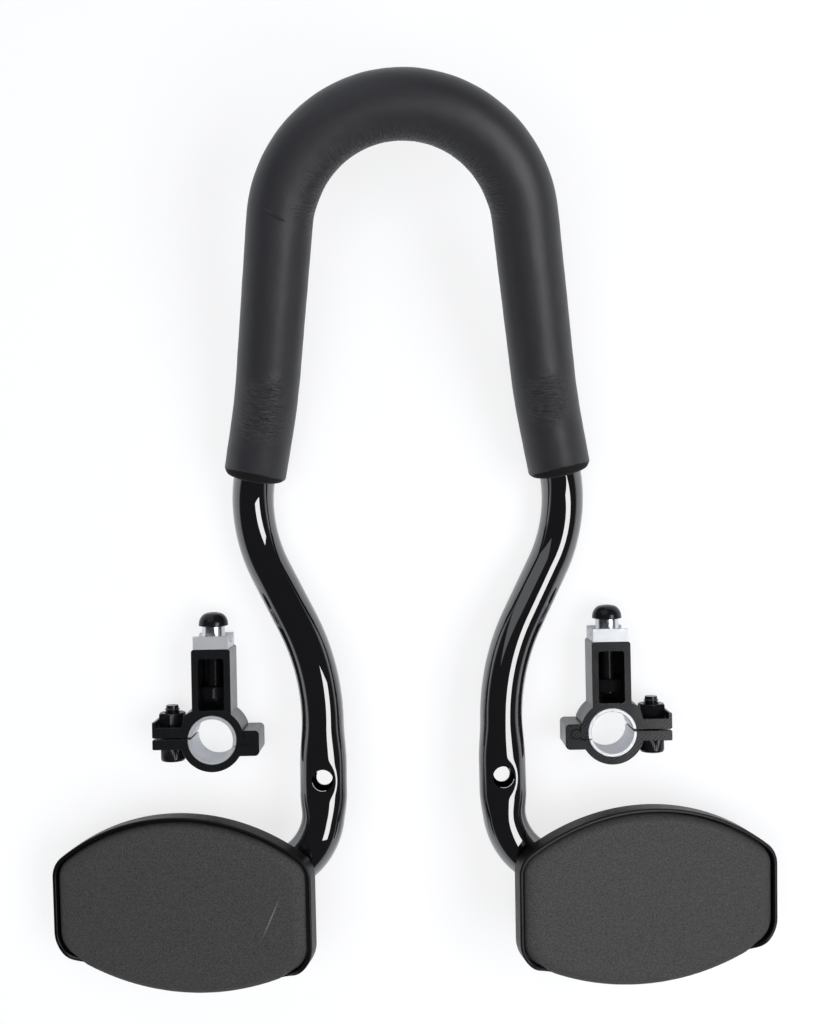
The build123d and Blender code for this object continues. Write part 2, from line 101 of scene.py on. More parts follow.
class BarSizes(bpy.types.PropertyGroup):
    """Route and section of the bent tube and of the grip on it."""

    tube_radius: length("Outside radius of the round tube", 11.1)
    tube_wall: length("Thickness of the tube", 2.0)
    loop_radius: length("Radius of the loop at the front", 61)
    grip_tilt: angle("Rise of the loop towards the front", 22)
    grip_reach: length("From the first bends to the front of the loop", 216.4)
    leg_splay: angle("How far each leg leans outwards at the loop", 7.5)
    leg_flare: angle("How far each leg leans outwards at its end", 11.8)
    leg_bend_up: length("From the first bends up to the bend in the leg", 70)
    leg_bend_radius: length("Radius of the bend in the leg", 400)
    first_bend: place("Corner between leg and diagonal run", (87.3933, 11.43, 7.11594))
    first_bend_radius: length("Radius of the first bend", 58)
    second_bend: place("Corner between diagonal and rear run", (46.9, -65.57, 25.9159))
    second_bend_radius: length("Radius of the second bend", 112)
    third_bend: place("Corner between rear run and tail", (46.9, -163.795, 34.5095))
    third_bend_tangent: length("Straight that the third bend takes up", 26.4)
    tail_tip: place("End of the plug in the tail", (154.672, -191.876, 11.1))
    plug_flange: length("Part of the plug outside the tube", 3)
    seat_back: length("Second bend to the pressed seat", 56.5)
    oval_width: length("Width of the pressed length", 24.5)
    oval_height: length("Height of the pressed length", 19.6)
    oval_length: length("Length that is fully oval", 16)
    oval_front_blend: length("Round to oval, in front of the seat", 22)
    oval_rear_blend: length("Oval to round, behind the seat", 14)
    seat_depth: length("How deep the seat is pressed", 1.8)
    press_radius: length("Radius of the seat along the tube", 28)
    upper_hole: length("Hole in the seat", 11)
    lower_hole: length("Hole for the bolt below", 8.5)
    grip_radius: length("Outside radius of the foam", 16.5)
    grip_bore: length("Inside radius of the foam", 11.2)
    grip_end: place("Middle of the foam's cut end", (81.3947, 38.0528, 17.8722))
    grip_round: length("Round of the foam's cut end", 0.9)
    grip_slant: length("How far the cut leans forward at the top", 2)
    wrinkle_depth: length("Depth of the folds inside the loop", 0.08)


class RestSizes(bpy.types.PropertyGroup):
    """Shape of the foam pads in the arm rests."""

    pad_origin: place("Middle of the right pad's underside", (120.925, -183.084, 33.9623))
    pad_up: FloatVectorProperty(
        name="Direction out of the right pad",
        default=(0.199053, -0.051866, 0.978615), subtype="DIRECTION",
    )
    pad_thickness: length("Height of the foam", 8)
    pad_voxel: length("Mesh size of the foam", 0.95)
    bevel_band: length("Width of the sloping edge at the sides", 6)
    bevel_drop: length("How far the edge slopes down", 1.8)
    crown: length("Rise of the middle of the foam", 0.5)
    mouth: length("Half the width of the cup's open rear", 53)
    mouth_fade: length("Length over which the rim runs out", 13)
    overhang: length("How far the foam laps over the rim's ends", 2.3)


class ClampSizes(bpy.types.PropertyGroup):
    """Edges and fasteners of the two bar clamps."""

    edge: length("Bevel on the machined edges", 0.35)
    bolt_radius: length("Outside radius of the thread", 4)
    thread_pitch: length("Spacing of the thread", 1.25)
    thread_depth: length("Depth of the thread", 0.6)
    nut_flats: length("Nut, across the flats", 13)
    nut_chamfer: length("Height of the chamfer at the nut's corners", 1.0)
    dome_radius: length("Radius of the domed head", 7.9)
    dome_height: length("Height of the domed head", 7)
    dome_rim: length("Straight part of the domed head", 0.6)
    dome_top: length("Radius of the dome's flat top", 2.7)
    dome_socket: length("Dome's socket, across the flats", 5)
    head_radius: length("Radius of the pinch bolt's head", 6.5)
    head_height: length("Height of the pinch bolt's head", 8)
    head_socket: length("Pinch bolt's socket, across the flats", 6)
    knurl: length("Depth of the knurl on the head", 0.16)
    bush_radius: length("Outside radius of the spacer bush", 6.1)
    bush_bore: length("Inside radius of the spacer bush", 4.2)


class FinishColours(bpy.types.PropertyGroup):
    """Colours of the finishes."""

    enamel: colour("Gloss black on the tube", "#08080A")
    grip_foam: colour("Charcoal foam of the grip", "#2B2B2F")
    # Painted shade: the grip is darkened towards this colour at its cut ends and in the hollows of its
    # creases, where shade falls
    grip_painted_shade: colour("Darker foam at cuts and in folds", "#060607")
    pad_foam: colour("Foam of the arm pads", "#2A2A2A")
    pad_fleck: colour("Pale grains in the arm pads", "#414140")
    cup: colour("Black plastic of the cups", "#060607")
    plug: colour("Black plastic of the end plugs", "#141416")
    anodised: colour("Black anodised clamps", "#101113")
    bright: colour("Bare machined aluminium", "#D4D6DA")
    oxide: colour("Black oxide on the fasteners", "#2A2A2E")
    floor: colour("White paper under the object", "#F1F3F9")


def only(piece):
    """Makes one object the only selected and the active one."""
    bpy.ops.object.select_all(action="DESELECT")
    piece.select_set(True)
    bpy.context.view_layer.objects.active = piece


def edit(piece):
    """Opens a piece in edit mode with everything selected."""
    only(piece)
    bpy.ops.object.mode_set(mode="EDIT")
    bpy.ops.mesh.select_mode(type="VERT")
    bpy.ops.mesh.select_all(action="SELECT")


def modify(piece, kind, **settings):
    """Adds a modifier with its settings and applies it."""
    only(piece)
    modifier = piece.modifiers.new(kind.lower(), kind)
    for key, value in settings.items():
        setattr(modifier, key, value)
    bpy.ops.object.modifier_apply(modifier=modifier.name)


def close_up(piece, gap=0.002 * MM, outward=True):
    """Merges doubles and, on a swept or mirrored piece, turns its faces outwards."""
    edit(piece)
    bpy.ops.mesh.remove_doubles(threshold=gap)
    if outward:
        bpy.ops.mesh.normals_make_consistent(inside=False)
    bpy.ops.object.mode_set(mode="OBJECT")


def finish_piece(piece, material, nodes, smooth=30):
    """Shades, paints and declares a finished piece."""
    only(piece)
    bpy.ops.object.shade_smooth_by_angle(angle=math.radians(smooth), keep_sharp_edges=False)
    piece.data.materials.clear()
    piece.data.materials.append(material)
    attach(piece, "root")
    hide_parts(*nodes)


def cut(piece, *tools, operation="DIFFERENCE"):
    """Cuts a piece with other solids, which are used up."""
    for tool in tools:
        modify(piece, "BOOLEAN", operation=operation, object=tool, solver="EXACT")
        bpy.data.objects.remove(tool)


def copy_of(piece, name, shift):
    """A copy with its own mesh, moved by shift."""
    twin = bpy.data.objects.new(name, piece.data.copy())
    bpy.context.collection.objects.link(twin)
    twin.data.transform(Matrix.Translation(shift))
    return twin


def first_ring(name, radius, sides, centre, normal):
    """Starts a piece from one open ring and leaves it in edit mode, selected."""
    turn = UP.rotation_difference(normal).to_euler()
    bpy.ops.mesh.primitive_circle_add(vertices=sides, radius=radius, location=centre, rotation=turn)
    piece = bpy.context.object
    piece.name = name
    bpy.ops.object.transform_apply()
    edit(piece)
    return piece


def run_on(step, count):
    """Extrudes the selected ring along a straight, in equal steps."""
    for _ in range(count):
        bpy.ops.mesh.extrude_region_move(TRANSFORM_OT_translate={"value": step / count})


def bend_on(centre, axis, turn, steps):
    """Spins the selected ring round an axis; spin turns against the right-hand rule."""
    bpy.ops.mesh.spin(steps=steps, angle=-turn, center=centre, axis=axis)


def corner(point, before, after, radius):
    """Start, end, centre, axis and turn of the round between two straights that meet at a point."""
    turn = before.angle(after)
    reach = radius * math.tan(turn / 2)
    axis = before.cross(after).normalized()
    start = point - before * reach
    centre = start + axis.cross(before) * radius
    return start, point + after * reach, centre, axis, turn


def turned(name, foot, profile, sides):
    """A round piece on an axis along Y: a ring for each (radius, height), a tiny ring as its tip."""
    radius, height = profile[0]
    piece = first_ring(name, radius, sides, foot + AHEAD * height, AHEAD)
    for next_radius, next_height in profile[1:]:
        run_on(AHEAD * (next_height - height), 1)
        scale = next_radius / radius
        bpy.ops.transform.resize(value=(scale, 1, scale), center_override=foot + AHEAD * next_height)
        radius, height = next_radius, next_height
    bpy.ops.object.mode_set(mode="OBJECT")
    close_up(piece, gap=0.05 * MM)
    return piece


def hexagon(name, foot, flats, height):
    """A six-sided bar along Y, its corners up and down."""
    bpy.ops.mesh.primitive_cylinder_add(
        vertices=6, radius=flats / math.sqrt(3), depth=height,
        location=foot + AHEAD * (height / 2), rotation=(math.pi / 2, 0, 0),
    )
    piece = bpy.context.object
    piece.name = name
    bpy.ops.object.transform_apply()
    return piece


def thread(radius, depth, pitch, low, high):
    """Profile points of a thread between two heights, as crests and roots."""
    crest = (0.1, 0.25)
    root = (0.6, 0.75)
    points = []
    for turn in range(int((high - low) / pitch)):
        start = low + turn * pitch
        points += [(radius, start + share * pitch) for share in crest]
        points += [(radius - depth, start + share * pitch) for share in root]
    return points


def dressed_copy(node, name, edge):
    """A merged copy of a CAD node, its sharp edges broken where an edge width is given."""
    piece = bpy.data.objects.new(name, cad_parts[node].data.copy())
    bpy.context.collection.objects.link(piece)
    only(piece)
    bpy.ops.mesh.customdata_custom_splitnormals_clear()
    close_up(piece, outward=False)
    if edge:
        edit(piece)
        bpy.ops.mesh.dissolve_limited(angle_limit=math.radians(0.5))
        bpy.ops.object.mode_set(mode="OBJECT")
        modify(
            piece, "BEVEL", width=edge, segments=1, limit_method="ANGLE",
            angle_limit=math.radians(40), use_clamp_overlap=True,
        )
    return piece


def node(tree, kind, inputs=None, **settings):
    """Adds one shader node, sets its options and links or fills its inputs."""
    made = tree.nodes.new("ShaderNode" + kind)
    for key, value in settings.items():
        setattr(made, key, value)
    for key, value in (inputs or {}).items():
        if isinstance(value, bpy.types.NodeSocket):
            tree.links.new(value, made.inputs[key])
        else:
            made.inputs[key].default_value = value
    return made


def blank_material(name):
    """A material with nothing in it yet but the object's own coordinates."""
    made = bpy.data.materials.new(name)
    made.use_nodes = True
    tree = made.node_tree
    tree.nodes.clear()
    coords = node(tree, "TexCoord").outputs["Object"]
    return made, tree, coords


def opaque(colour_value):
    """A colour property as the four numbers of a colour socket."""
    return (*colour_value, 1)


def streak(tree, places, centre, reach, width, turn):
    """A share that is 1 in the middle of a short straight mark and fades to 0 at its edges."""
    flat = 1000
    laid = node(
        tree, "Mapping",
        {"Vector": places, "Location": (*centre, 0), "Rotation": (0, 0, turn), "Scale": (reach, width, flat)},
        vector_type="TEXTURE",
    )
    return node(
        tree, "TexGradient", {"Vector": laid.outputs["Vector"]}, gradient_type="SPHERICAL"
    ).outputs["Fac"]


def grains(tree, places, size, detail, distortion=0):
    """A cloudy share from 0 to 1, with grains of about one size."""
    inputs = {"Vector": places, "Scale": 1 / size, "Detail": detail, "Distortion": distortion}
    return node(tree, "TexNoise", inputs).outputs["Fac"]


def spread(tree, value, low, high, start=0, end=1):
    """Maps the values from start to end on to those from low to high."""
    inputs = {"Value": value, "From Min": start, "From Max": end, "To Min": low, "To Max": high}
    return node(tree, "MapRange", inputs).outputs["Result"]


def bump(tree, height, strength, depth, under=None):
    """The normal of a relief, laid over another relief where one is given."""
    inputs = {"Height": height, "Strength": strength, "Distance": depth}
    if under is not None:
        inputs["Normal"] = under
    return node(tree, "Bump", inputs).outputs["Normal"]


def maths(tree, operation, *values, clamp=False):
    """One step of arithmetic."""
    made = node(tree, "Math", dict(enumerate(values)), operation=operation, use_clamp=clamp)
    return made.outputs["Value"]


def blend(tree, share, first, second):
    """A colour between two others: the first at a share of 0, the second at 1."""
    made = node(tree, "Mix", {0: share, 6: first, 7: second}, data_type="RGBA")
    return made.outputs[2]


def surface(made, tree, inputs):
    """Ends a material with one principled surface."""
    shader = node(tree, "BsdfPrincipled", inputs)
    node(tree, "OutputMaterial", {"Surface": shader.outputs["BSDF"]})
    return made


def black_enamel(colours):
    """Stoved gloss enamel on drawn tube: mirror-like black with a faint orange peel."""
    made, tree, coords = blank_material("gloss_black_enamel")
    peel = bump(tree, grains(tree, coords, 6 * MM, detail=1), strength=0.08, depth=0.1 * MM)
    dust = grains(tree, coords, 25 * MM, detail=4)
    return surface(made, tree, {
        "Base Color": opaque(colours.enamel), "IOR": 1.2,
        "Roughness": spread(tree, dust, 0.03, 0.09, start=0.35, end=0.8),
        "Coat Weight": 1, "Coat IOR": 2.1, "Coat Roughness": 0.02,
        "Normal": peel, "Coat Normal": peel,
    })


def grip_foam(colours):
    """Skinned rubber foam: charcoal satin, fine creases where it is squeezed, painted shade in the creases'
    hollows and painted highlight on their crests, and painted shade at its cut ends.
    """
    made, tree, coords = blank_material("closed_cell_rubber_foam")
    skin = node(tree, "Attribute", attribute_name="skin_place").outputs["Vector"]
    squeeze = node(tree, "SeparateXYZ", {"Vector": skin}).outputs["Z"]
    shade = node(tree, "Attribute", attribute_name="foam_shade").outputs["Fac"]
    crease_pitch = 1.0 * MM
    crease_run = 4.5 * MM
    lie = node(tree, "Mapping", {"Vector": skin, "Scale": (1 / crease_pitch, 1 / crease_run, 0)})
    crease = grains(tree, lie.outputs["Vector"], 1, detail=3, distortion=0.7)
    pores = grains(tree, coords, 0.7 * MM, detail=2)
    mottle = grains(tree, coords, 14 * MM, detail=3)
    dent = streak(
        tree, skin, centre=(-84 * MM, 2 * MM), reach=6.5 * MM, width=0.9 * MM, turn=math.radians(71)
    )
    dent_depth = -0.8
    folds = maths(tree, "MULTIPLY_ADD", crease, squeeze, maths(tree, "MULTIPLY", dent, dent_depth))
    fine = bump(tree, pores, strength=0.35, depth=0.12 * MM)
    relief = bump(tree, folds, strength=1, depth=1.8 * MM, under=fine)
    pore_shade = 0.3
    mottle_shade = 0.2
    # Painted shade in the creases' hollows and painted highlight on their crests, added to the painted shade
    # at the cut ends and to random pores and mottle
    crease_light_and_shade = spread(tree, crease, -0.35, 0.45, start=0.62, end=0.38)
    shade_and_grain = maths(tree, "MULTIPLY_ADD", crease_light_and_shade, squeeze, shade)
    shade_and_grain = maths(tree, "MULTIPLY_ADD", pores, pore_shade, shade_and_grain)
    shade_and_grain = maths(tree, "MULTIPLY_ADD", mottle, mottle_shade, shade_and_grain, clamp=True)
    tint = blend(tree, shade_and_grain, opaque(colours.grip_foam), opaque(colours.grip_painted_shade))
    scuff = streak(
        tree, skin, centre=(130.5 * MM, 16 * MM), reach=6 * MM, width=0.5 * MM, turn=math.radians(139)
    )
    return surface(made, tree, {
        "Base Color": blend(tree, scuff, tint, opaque(colours.pad_fleck)), "IOR": 1.45,
        "Roughness": spread(tree, shade, 0.46, 0.9),
        "Sheen Weight": 0.05, "Sheen Roughness": 0.4, "Normal": relief,
    })


def pad_foam(colours):
    """Moulded EVA foam: dark grey with a dense pale fleck and an open, dull grain."""
    made, tree, coords = blank_material("moulded_eva_foam")
    fleck = grains(tree, coords, 0.8 * MM, detail=2)
    amount = spread(tree, fleck, 0, 1, start=0.3, end=0.7)
    tint = blend(tree, amount, opaque(colours.pad_foam), opaque(colours.pad_fleck))
    scratch = streak(
        tree, coords, centre=(-73.5 * MM, -188 * MM), reach=14 * MM, width=0.5 * MM, turn=math.radians(66)
    )
    scratch_share = 0.2
    faint = maths(tree, "MULTIPLY", scratch, scratch_share)
    return surface(made, tree, {
        "Base Color": blend(tree, faint, tint, opaque(colours.bright)), "IOR": 1.45,
        "Roughness": 0.75, "Normal": bump(tree, fleck, strength=0.5, depth=0.2 * MM),
    })


def plain_plastic(name, tint, roughness, grain, gloss):
    """Moulded ABS: black, with a shallow grain that breaks its highlights."""
    made, tree, coords = blank_material(name)
    pebble = grains(tree, coords, grain, detail=2)
    return surface(made, tree, {
        "Base Color": opaque(tint), "IOR": 1.53, "Specular IOR Level": gloss,
        "Roughness": spread(tree, pebble, roughness * 0.8, roughness * 1.2),
        "Normal": bump(tree, pebble, strength=0.15, depth=0.08 * MM),
    })


def machined_metal(name, tint, metallic, roughness, spacing, turn, relief):
    """Milled or turned metal: parallel tool marks across the face, slightly uneven."""
    made, tree, coords = blank_material(name)
    band_at_scale_one = 0.314
    across = node(tree, "Mapping", {"Vector": coords, "Rotation": (0, 0, turn)})
    marks = node(
        tree, "TexWave",
        {
            "Vector": across.outputs["Vector"], "Scale": band_at_scale_one / spacing,
            "Distortion": 1.5, "Detail": 3,
        },
        bands_direction="X",
    )
    uneven = grains(tree, coords, 7 * MM, detail=4)
    return surface(made, tree, {
        "Base Color": opaque(tint), "Metallic": metallic,
        "Roughness": spread(tree, uneven, roughness * 0.75, roughness * 1.25),
        "Normal": bump(tree, marks.outputs["Fac"], strength=relief, depth=0.05 * MM),
    })


def floor_paper(colours):
    """White paper sweep: mostly its own white to the eye, less in reflections, with a soft shadow."""
    made, tree, _ = blank_material("white_paper")
    seen_white = 0.76
    mirrored_white = 0.3
    rays = node(tree, "LightPath").outputs
    mirrored = maths(tree, "MAXIMUM", rays["Is Glossy Ray"], rays["Is Transmission Ray"])
    mirrored = maths(tree, "MULTIPLY", mirrored, mirrored_white)
    share = maths(tree, "MULTIPLY_ADD", rays["Is Camera Ray"], seen_white, mirrored)
    paper = node(tree, "BsdfDiffuse", {"Color": opaque(colours.floor)})
    glow = node(tree, "Emission", {"Color": (1, 1, 1, 1), "Strength": 1})
    both = node(
        tree, "MixShader",
        {0: share, 1: paper.outputs["BSDF"], 2: glow.outputs["Emission"]},
    )
    node(tree, "OutputMaterial", {"Surface": both.outputs["Shader"]})
    return made


class Route:
    """The right half of the tube's centre line: straights, bends and the pressed seat."""

    def __init__(self, sizes):
        tilt = sizes.grip_tilt
        splay = sizes.leg_splay
        radius = sizes.loop_radius
        self.grip_up = Vector((0, math.cos(tilt), math.sin(tilt)))
        self.grip_normal = Vector((0, -math.sin(tilt), math.cos(tilt)))
        self.first_bend = Vector(sizes.first_bend)
        self.second_bend = Vector(sizes.second_bend)
        self.third_bend = Vector(sizes.third_bend)
        foot = Vector((0, self.first_bend.y, self.first_bend.z))
        self.loop_centre = foot + self.grip_up * (sizes.grip_reach - radius)
        self.apex = self.loop_centre + self.grip_up * radius
        self.loop_turn = math.pi / 2 - splay
        self.loop_end = self.loop_centre + ACROSS * radius * math.cos(splay)
        self.loop_end += self.grip_up * radius * math.sin(splay)
        self.leg = ACROSS * math.sin(splay) - self.grip_up * math.cos(splay)
        self.flare = ACROSS * math.sin(sizes.leg_flare) - self.grip_up * math.cos(sizes.leg_flare)
        self.leg_bend = self.first_bend - self.flare * sizes.leg_bend_up / math.cos(sizes.leg_flare)
        self.leg_corner = corner(self.leg_bend, self.leg, self.flare, sizes.leg_bend_radius)
        self.grip_end = Vector(sizes.grip_end)
        self.loop_length = radius * self.loop_turn
        self.diagonal = (self.second_bend - self.first_bend).normalized()
        self.rear = (self.third_bend - self.second_bend).normalized()
        self.rear_normal = ACROSS.cross(self.rear) * -1
        self.tail = (Vector(sizes.tail_tip) - self.third_bend).normalized()
        self.tail_end = Vector(sizes.tail_tip) - self.tail * sizes.plug_flange
        self.seat = self.second_bend + self.rear * sizes.seat_back
        self.third_radius = sizes.third_bend_tangent / math.tan(self.rear.angle(self.tail) / 2)

    def sweep_leg(self, steps, stop):
        """Carries the selected ring down the leg, round its slight bend and on to a stop."""
        start, end, centre, axis, turn = self.leg_corner
        run_on(start - self.loop_end, steps)
        bend_on(centre, axis, turn, steps // 2)
        run_on(stop - end, steps)

    def grip_place(self, point):
        """Travel from the front of the loop, outward direction and nearest centre for a point."""
        spoke = point - self.loop_centre
        turn = math.atan2(spoke.x, spoke.dot(self.grip_up))
        if turn <= self.loop_turn:
            out = ACROSS * math.sin(turn) + self.grip_up * math.cos(turn)
            radius = (self.apex - self.loop_centre).length
            return radius * turn, out, self.loop_centre + out * radius
        start, end, centre, axis, turn = self.leg_corner
        straight = (start - self.loop_end).length
        curve = turn * (start - centre).length
        if (point - start).dot(self.leg) <= 0:
            travel = (point - self.loop_end).dot(self.leg)
            way, foot = self.leg, self.loop_end + self.leg * travel
        elif (point - end).dot(self.flare) >= 0:
            travel = (point - end).dot(self.flare)
            way, foot = self.flare, end + self.flare * travel
            travel += straight + curve
        else:
            spoke = point - centre
            spoke = (spoke - axis * spoke.dot(axis)).normalized()
            way = axis.cross(spoke)
            foot = centre + spoke * (start - centre).length
            travel = straight + (start - centre).angle(spoke) * (start - centre).length
        return self.loop_length + travel, self.grip_normal.cross(way), foot


def smooth_step(low, high, value):
    """0 below low, 1 above high, and a smooth rise between them."""
    share = min(max((value - low) / (high - low), 0), 1)
    return share * share * (3 - 2 * share)


def press_seat(piece, sizes, route):
    """Presses the oval length and its dished seat into the swept tube."""
    half = sizes.oval_length / 2
    floor = sizes.oval_height / 2 - sizes.seat_depth
    first = -half - sizes.oval_front_blend
    last = half + sizes.oval_rear_blend
    margin = 20 * MM
    reach = 60 * MM
    soft = 0.2 * MM
    untouched = -6
    flat = 30
    for vertex in piece.data.vertices:
        offset = vertex.co - route.seat
        along = offset.dot(route.rear)
        if along < first or along > last + margin or offset.length > reach:
            continue
        oval = smooth_step(first, -half, along) - smooth_step(half, last, along)
        across = offset.x * (1 + oval * (sizes.oval_width / 2 / sizes.tube_radius - 1))
        up = offset.dot(route.rear_normal)
        up *= 1 + oval * (sizes.oval_height / 2 / sizes.tube_radius - 1)
        if abs(along) < sizes.press_radius:
            roof = floor + sizes.press_radius - math.sqrt(sizes.press_radius**2 - along**2)
            over = (up - roof) / soft
            if over > untouched:
                up = roof - soft * math.log1p(math.exp(-over)) if over < flat else roof
        vertex.co = route.seat + route.rear * along + ACROSS * across + route.rear_normal * up


class OBJECT_OT_extension_bar(bpy.types.Operator):
    """Sweeps the tube along its bends, presses and drills the seats and gives it its wall."""

    bl_idname = "object.extension_bar"
    bl_label = "Extension bar"

    def execute(self, context):
        sizes = context.scene.bar_sizes
        route = Route(sizes)
        loop_steps = 44
        leg_steps = 8
        bend_steps = 36
        diagonal_steps = 6
        rear_step = 0.7 * MM
        third_bend_steps = 40
        tail_steps = 12
        bar = first_ring("bent_tube", sizes.tube_radius, RING_SIDES, route.apex, ACROSS)
        bend_on(route.loop_centre, route.grip_normal * -1, route.loop_turn, loop_steps)
        start, here, *bend = corner(
            route.first_bend, route.flare, route.diagonal, sizes.first_bend_radius
        )
        route.sweep_leg(leg_steps, start)
        bend_on(*bend, bend_steps)
        start, end, *bend = corner(
            route.second_bend, route.diagonal, route.rear, sizes.second_bend_radius
        )
        run_on(start - here, diagonal_steps)
        bend_on(*bend, bend_steps)
        start, here, *bend = corner(route.third_bend, route.rear, route.tail, route.third_radius)
        run_on(start - end, round((start - end).length / rear_step))
        bend_on(*bend, third_bend_steps)
        run_on(route.tail_end - here, tail_steps)
        bpy.ops.object.mode_set(mode="OBJECT")
        press_seat(bar, sizes, route)
        modify(bar, "MIRROR", use_axis=(True, False, False), merge_threshold=JOIN_GAP)
        close_up(bar)
        modify(bar, "SOLIDIFY", thickness=sizes.tube_wall, offset=-1)
        for side in SIDES.values():
            cut(bar, *self.drills(sizes, route, side))
        finish_piece(
            bar, black_enamel(context.scene.finish_colours), ["extension_bar"]
        )
        return {"FINISHED"}

    def drills(self, sizes, route, side):
        """Two drills for the seat of one side, one up through the seat and one down."""
        made = []
        reach = 2 * sizes.tube_radius
        up = route.rear_normal
        for hole, way in ((sizes.upper_hole, 1), (sizes.lower_hole, -1)):
            centre = route.seat + up * way * reach / 2
            bpy.ops.mesh.primitive_cylinder_add(
                vertices=64, radius=hole / 2, depth=reach,
                location=(side * centre.x, centre.y, centre.z),
                rotation=UP.rotation_difference(up).to_euler(),
            )
            made.append(bpy.context.object)
        return made


class OBJECT_OT_foam_grip(bpy.types.Operator):
    """Sweeps the foam sleeve over the loop, rounds its ends and folds the inside of the bend."""

    bl_idname = "object.foam_grip"
    bl_label = "Foam grip"

    def execute(self, context):
        sizes = context.scene.bar_sizes
        route = Route(sizes)
        loop_steps = 220
        leg_steps = 50
        end_steps = 14
        bore_end_steps = 4
        bore_leg_steps = 6
        bore_loop_steps = 24
        first_share = 0.3
        second_share = 0.7
        grip = first_ring("foam_sleeve", sizes.grip_radius, RING_SIDES, route.apex, ACROSS)
        bend_on(route.loop_centre, route.grip_normal * -1, route.loop_turn, loop_steps)
        here = route.grip_end - route.flare * GRIP_END_ZONE
        route.sweep_leg(leg_steps, here)
        there = route.grip_end - route.flare * sizes.grip_round
        run_on(there - here, end_steps)
        self.widen(1 - sizes.grip_round * first_share / sizes.grip_radius, there)
        run_on(route.grip_end - there, 1)
        self.widen(1 - sizes.grip_round * second_share / sizes.grip_radius, route.grip_end)
        run_on(Vector((0, 0, 0)), 1)
        self.widen(sizes.grip_bore / (sizes.grip_radius - sizes.grip_round), route.grip_end)
        start, end, centre, axis, turn = route.leg_corner
        run_on(end - route.grip_end, bore_end_steps)
        bend_on(centre, axis * -1, turn, bore_leg_steps)
        run_on(route.loop_end - start, bore_leg_steps)
        bend_on(route.loop_centre, route.grip_normal, route.loop_turn, bore_loop_steps)
        bpy.ops.object.mode_set(mode="OBJECT")
        modify(grip, "MIRROR", use_axis=(True, False, False), merge_threshold=JOIN_GAP)
        close_up(grip)
        self.fold(grip, sizes, route)
        finish_piece(grip, grip_foam(context.scene.finish_colours), ["foam_grip"], 50)
        return {"FINISHED"}

    def widen(self, scale, centre):
        """Scales the selected ring about its centre."""
        bpy.ops.transform.resize(value=(scale, scale, scale), center_override=centre)

    def fold(self, grip, sizes, route):
        """Moves the skin in and out along its own section and marks its places and the painted shade at its
        cut ends.
        """
        shade = grip.data.attributes.new("foam_shade", "FLOAT", "POINT")
        places = grip.data.attributes.new("skin_place", "FLOAT_VECTOR", "POINT")
        level = Vector((route.flare.x, route.flare.y, 0)).normalized()
        end = route.grip_place(route.grip_end)[0]
        skin_from = sizes.grip_bore + 1 * MM
        rag_size = 0.5 * MM
        rag_grain = Vector((7, 1 / (1.5 * MM), 1 / (4 * MM)))
        cut_from = -0.9 * MM
        cut_full = -0.2 * MM
        cut_sink = 0.4 * MM
        cut_shade = 0.95
        for vertex in grip.data.vertices:
            side = 1 if vertex.co.x >= 0 else -1
            point = Vector((abs(vertex.co.x), vertex.co.y, vertex.co.z))
            travel, out, foot = route.grip_place(point)
            lateral = (point - foot).dot(out)
            height = (point - foot).dot(route.grip_normal)
            radius = math.hypot(lateral, height)
            near_end = smooth_step(end - GRIP_END_ZONE, end, travel)
            point -= route.flare * sizes.grip_slant * near_end * max(height, 0) / sizes.grip_radius
            rag = rag_size * noise.noise(Vector((side, lateral, height)) * rag_grain)
            cut_face = smooth_step(cut_from, cut_full, (point - route.grip_end).dot(level) + rag)
            if radius > skin_from:
                push, squeeze = self.skin(side, travel, lateral / radius, height > 0, sizes, route)
                push -= cut_sink * cut_face
                point += (out * lateral + route.grip_normal * height) / radius * push
                around = math.atan2(lateral, height) * sizes.grip_radius
                places.data[vertex.index].vector = (side * travel, around, squeeze)
            vertex.co = (side * point.x, point.y, point.z)
            # Painted shade: the foam is marked darker at its cut end, where shade falls
            shade.data[vertex.index].value = cut_shade * cut_face

    def skin(self, side, travel, around, above, sizes, route):
        """How far the skin stands out, and how much it is squeezed (the depth of its creases and of their
        painted shade), at one place of the sleeve.
        """
        bend = route.loop_length
        uneven = 0.12 * MM
        fold_pitch = 1.9 * MM
        fold_wander = 0.9
        flattening = 0.5 * MM
        fade = 14 * MM
        leg_strength = 0.8
        push = uneven * noise.noise(Vector((side * travel / (9 * MM), around * 3, 1 if above else 5)))
        in_bend = 1 - smooth_step(bend * 0.85, bend * 1.15, travel)
        inside = smooth_step(0.25, 0.9, -around) * in_bend
        wander = noise.noise(Vector((side * travel / (5 * MM), around * 2.5, 9)))
        wave = math.sin(2 * math.pi * (travel / fold_pitch + fold_wander * wander))
        push += sizes.wrinkle_depth * inside * wave
        push += flattening * smooth_step(0.3, 1, -around) * (1 - smooth_step(bend * 0.8, bend, travel))
        leg = travel - bend
        first, last = LEG_CREASES[side]
        on_leg = smooth_step(first, first + fade, leg) * (1 - smooth_step(last - fade, last, leg))
        on_leg *= 1 - smooth_step(0.3, 0.85, abs(around))
        return push, max(LOOP_CREASES[side] * inside, leg_strength * on_leg)


class RestFrame:
    """Places on one arm rest: across, ahead and up from the middle of its pad's underside."""

    def __init__(self, sizes, sign):
        self.origin = Vector((sign * sizes.pad_origin[0], *sizes.pad_origin[1:]))
        self.up = Vector((sign * sizes.pad_up[0], *sizes.pad_up[1:])).normalized()
        self.across = (ACROSS - self.up * ACROSS.dot(self.up)).normalized()
        self.ahead = self.up.cross(self.across)

    def spot(self, point):
        """A point's place in the plane of the rest, and its height over it."""
        offset = point - self.origin
        return Vector((offset.dot(self.across), offset.dot(self.ahead))), offset.dot(self.up)


